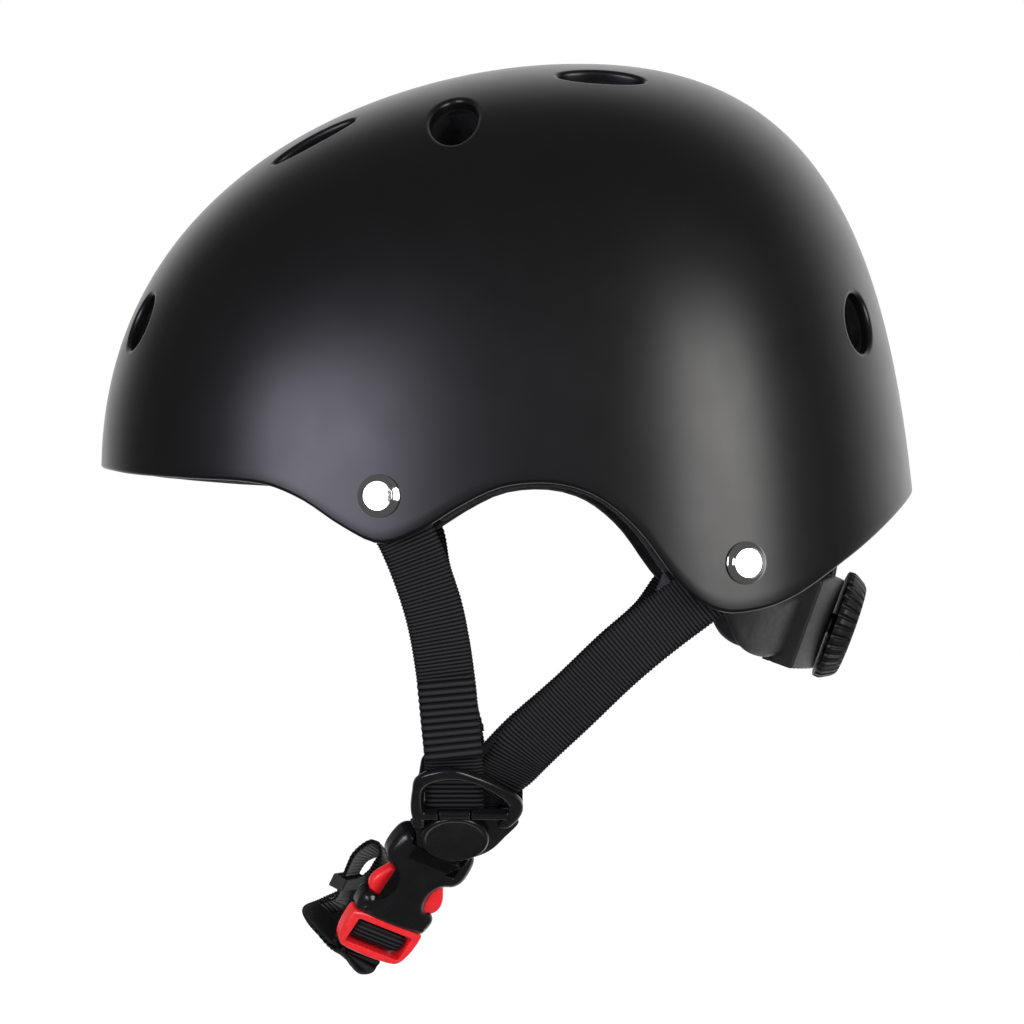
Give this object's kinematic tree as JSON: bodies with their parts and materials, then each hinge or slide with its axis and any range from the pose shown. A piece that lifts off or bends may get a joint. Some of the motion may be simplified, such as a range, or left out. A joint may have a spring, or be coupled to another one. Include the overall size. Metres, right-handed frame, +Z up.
{
  "type": "water helmet",
  "caption": "Water sports helmet: smooth vented shell over a foam liner, riveted webbing straps with locking dividers, side release buckle and dial fit band.",
  "frame": {"origin": "centre of the crown pad's flat underside, where the top of the head bears", "axes": "-Y is the way the wearer faces, +X is the wearer's left, +Z is up"},
  "size_m": [0.2112, 0.2685, 0.3018],
  "materials": {
    "shell": "satin moulded ABS",
    "foam": "closed cell foam skin",
    "pad_fabric": "brushed knit over foam",
    "rivet_chrome": "bright, lightly domed rim",
    "plain_steel": "plain",
    "webbing": "ribbed polyester webbing",
    "hard_black": "semi gloss acetal",
    "dial_black": "fine textured",
    "keeper_rubber": "plain",
    "buckle_red": "semi gloss acetal",
    "band_nylon": "satin nylon"
  },
  "bodies": {
    "helmet": {"outer_shell": "shell", "foam_liner": "foam", "crown_pad": "pad_fabric", "front_pad": "pad_fabric", "side_pad_left": "pad_fabric", "side_pad_right": "pad_fabric", "nape_pad": "pad_fabric", "rivet_front_left": "rivet_chrome", "rivet_front_right": "rivet_chrome", "rivet_rear_left": "rivet_chrome", "rivet_rear_right": "rivet_chrome", "washer_front_left": "plain_steel", "washer_front_right": "plain_steel", "washer_rear_left": "plain_steel", "washer_rear_right": "plain_steel", "side_strap_left": "webbing", "side_strap_right": "webbing", "strap_overlap_left": "webbing", "strap_overlap_right": "webbing", "chin_strap": "webbing", "divider_frame_left": "hard_black", "divider_frame_right": "hard_black", "buckle_female": "hard_black", "housing_cover": "hard_black", "housing_base": "hard_black", "band_anchor_left": "hard_black", "band_anchor_right": "hard_black", "hanger_pin": "hard_black", "housing_screw_left": "plain_steel", "housing_screw_right": "plain_steel", "headband_left": "band_nylon", "headband_right": "band_nylon", "cradle_hanger": "band_nylon"},
    "dial": {"dial_knob": "dial_black", "dial_pinion": "plain_steel", "dial_screw": "plain_steel"},
    "rack_left": {"rack_left": "band_nylon"},
    "rack_right": {"rack_right": "band_nylon"},
    "buckle_male": {"buckle_male": "buckle_red", "strap_keeper": "keeper_rubber"},
    "prong_front": {"prong_front": "buckle_red"},
    "prong_rear": {"prong_rear": "buckle_red"},
    "lock_left": {"divider_lock_left": "hard_black"},
    "lock_right": {"divider_lock_right": "hard_black"}
  },
  "joints": [
    {"name": "dial_turn", "type": "hinge", "parent": "helmet", "child": "dial", "pos_m": [0, 0.0831, -0.1632], "axis": [0, 0.9397, -0.342], "range_deg": [-85, 85]},
    {"name": "rack_left_slide", "type": "slide", "parent": "helmet", "child": "rack_left", "axis": [1, 0, 0], "range_m": [-0.009, 0.009], "deforming": ["headband_left"]},
    {"name": "rack_right_slide", "type": "slide", "parent": "helmet", "child": "rack_right", "axis": [-1, 0, 0], "range_m": [-0.009, 0.009], "deforming": ["headband_right"]},
    {"name": "buckle_slide", "type": "slide", "parent": "helmet", "child": "buckle_male", "axis": [-0.3121, -0.5242, -0.7923], "range_m": [0, 0.03], "deforming": ["chin_strap", "prong_front", "prong_rear"]},
    {"name": "prong_front_flex", "type": "hinge", "parent": "buckle_male", "child": "prong_front", "pos_m": [0.02812, -0.07039, -0.256], "axis": [-0.8414, -0.2347, 0.4868], "range_deg": [0, 7], "stiffness_Nm_per_rad": 0.2},
    {"name": "prong_rear_flex", "type": "hinge", "parent": "buckle_male", "child": "prong_rear", "pos_m": [0.02053, -0.05631, -0.26232], "axis": [0.8414, 0.2347, -0.4868], "range_deg": [0, 7], "stiffness_Nm_per_rad": 0.2},
    {"name": "lock_left_open", "type": "hinge", "parent": "helmet", "child": "lock_left", "pos_m": [0.05608, -0.041, -0.22323], "axis": [0, -1, 0], "range_deg": [0, 100]},
    {"name": "lock_right_open", "type": "hinge", "parent": "helmet", "child": "lock_right", "pos_m": [-0.05608, -0.041, -0.22323], "axis": [0, 1, 0], "range_deg": [0, 100]}
  ],
  "couplings": [
    {"joint": "rack_left_slide", "follows": "dial_turn", "m_per_rad": 0.006},
    {"joint": "rack_right_slide", "follows": "dial_turn", "m_per_rad": 0.006}
  ]
}
